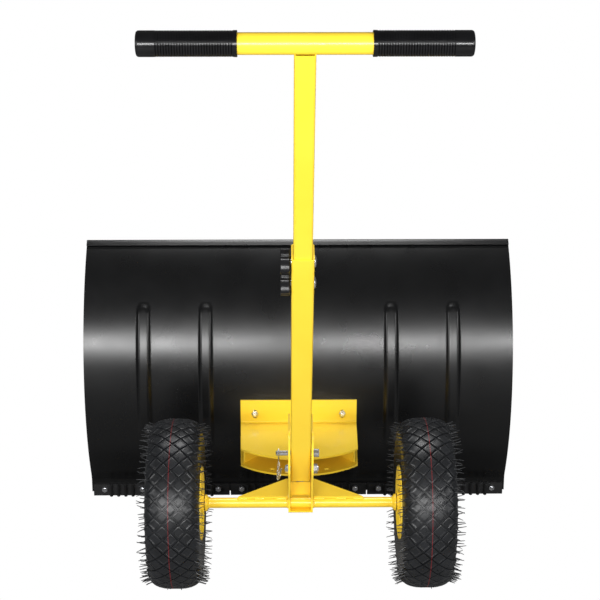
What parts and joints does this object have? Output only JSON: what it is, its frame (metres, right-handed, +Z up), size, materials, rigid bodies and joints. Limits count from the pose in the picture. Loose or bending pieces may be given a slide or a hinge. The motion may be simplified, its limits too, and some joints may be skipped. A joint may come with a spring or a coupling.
{
  "type": "wheeled snow shovel",
  "caption": "Wheeled snow shovel with a curved steel blade on an angling bracket, air-filled tyres, and a tilting, telescoping handle with a grip bar.",
  "frame": {"origin": "on the ground under the middle of the shovel's bounding box, midway between the tyres", "axes": "+Z up, +Y forward towards the blade, +X to the right of the person pushing"},
  "size_m": [0.74, 0.8584, 0.9085],
  "materials": {
    "frame_paint": "gloss",
    "wheel_paint": "gloss",
    "blade_paint": "satin",
    "zinc": "satin",
    "bearing": "satin",
    "rubber": "matte",
    "tyre": "matte",
    "plastic": "matte"
  },
  "bodies": {
    "frame": {"frame_channel": "frame_paint", "swivel_tongue": "frame_paint", "axle": "frame_paint", "gusset_left": "frame_paint", "gusset_right": "frame_paint", "axle_washer_left": "zinc", "axle_washer_right": "zinc", "cotter_pin_left": "zinc", "cotter_pin_right": "zinc", "post_pivot_bolt": "zinc"},
    "blade_assembly": {"blade": "blade_paint", "wear_strip_left": "rubber", "wear_strip_centre": "rubber", "wear_strip_right": "rubber", "strip_bolt_1": "zinc", "strip_bolt_2": "zinc", "strip_bolt_3": "zinc", "strip_bolt_4": "zinc", "strip_bolt_5": "zinc", "strip_bolt_6": "zinc", "strip_bolt_7": "zinc", "strip_bolt_8": "zinc", "strip_bolt_9": "zinc", "strip_bolt_10": "zinc", "strip_bolt_11": "zinc", "strip_bolt_12": "zinc", "bracket_top_plate": "frame_paint", "bracket_bottom_plate": "frame_paint", "bracket_bolt_left": "zinc", "bracket_bolt_right": "zinc", "swivel_bolt": "zinc"},
    "plunger": {"index_plunger": "zinc"},
    "post": {"lower_post": "frame_paint", "lock_pin": "zinc", "lock_pin_clip": "zinc", "lock_pin_chain": "zinc", "clamp_bolt_lower": "zinc", "clamp_bolt_upper": "zinc"},
    "knob_lower": {"star_knob_lower": "plastic"},
    "knob_upper": {"star_knob_upper": "plastic"},
    "handle": {"upper_post": "frame_paint", "handlebar": "frame_paint", "grip_left": "rubber", "grip_right": "rubber"},
    "left_wheel": {"left_wheel_tyre": "tyre", "left_wheel_rim_ring": "wheel_paint", "left_wheel_inner_disc": "wheel_paint", "left_wheel_outer_disc": "wheel_paint", "left_wheel_hub": "wheel_paint", "left_wheel_inner_bearing": "bearing", "left_wheel_outer_bearing": "bearing", "left_wheel_valve": "rubber"},
    "right_wheel": {"right_wheel_tyre": "tyre", "right_wheel_rim_ring": "wheel_paint", "right_wheel_inner_disc": "wheel_paint", "right_wheel_outer_disc": "wheel_paint", "right_wheel_hub": "wheel_paint", "right_wheel_inner_bearing": "bearing", "right_wheel_outer_bearing": "bearing", "right_wheel_valve": "rubber"}
  },
  "joints": [
    {"name": "left_wheel_spin", "type": "hinge", "parent": "frame", "child": "left_wheel", "pos_m": [-0.193, 0.03092, 0.1315], "axis": [1, 0, 0], "continuous": true},
    {"name": "right_wheel_spin", "type": "hinge", "parent": "frame", "child": "right_wheel", "pos_m": [0.193, 0.03092, 0.1315], "axis": [1, 0, 0], "continuous": true},
    {"name": "blade_swivel", "type": "hinge", "parent": "frame", "child": "blade_assembly", "pos_m": [0, 0.28352, 0.14], "axis": [0, 0, 1], "range_deg": [-22, 22]},
    {"name": "index_plunger_slide", "type": "slide", "parent": "frame", "child": "plunger", "axis": [0, 0, 1], "range_m": [-0.008, 0]},
    {"name": "post_tilt", "type": "hinge", "parent": "frame", "child": "post", "pos_m": [0, 0.02442, 0.1914], "axis": [1, 0, 0], "range_deg": [-20, 20]},
    {"name": "handle_slide", "type": "slide", "parent": "post", "child": "handle", "axis": [0, -0.5299, 0.848], "range_m": [-0.1, 0.06]},
    {"name": "lower_knob_turn", "type": "hinge", "parent": "post", "child": "knob_lower", "pos_m": [-0.0158, -0.20302, 0.55538], "axis": [-1, 0, 0], "continuous": true},
    {"name": "upper_knob_turn", "type": "hinge", "parent": "post", "child": "knob_upper", "pos_m": [-0.0158, -0.2249, 0.59041], "axis": [-1, 0, 0], "continuous": true}
  ]
}
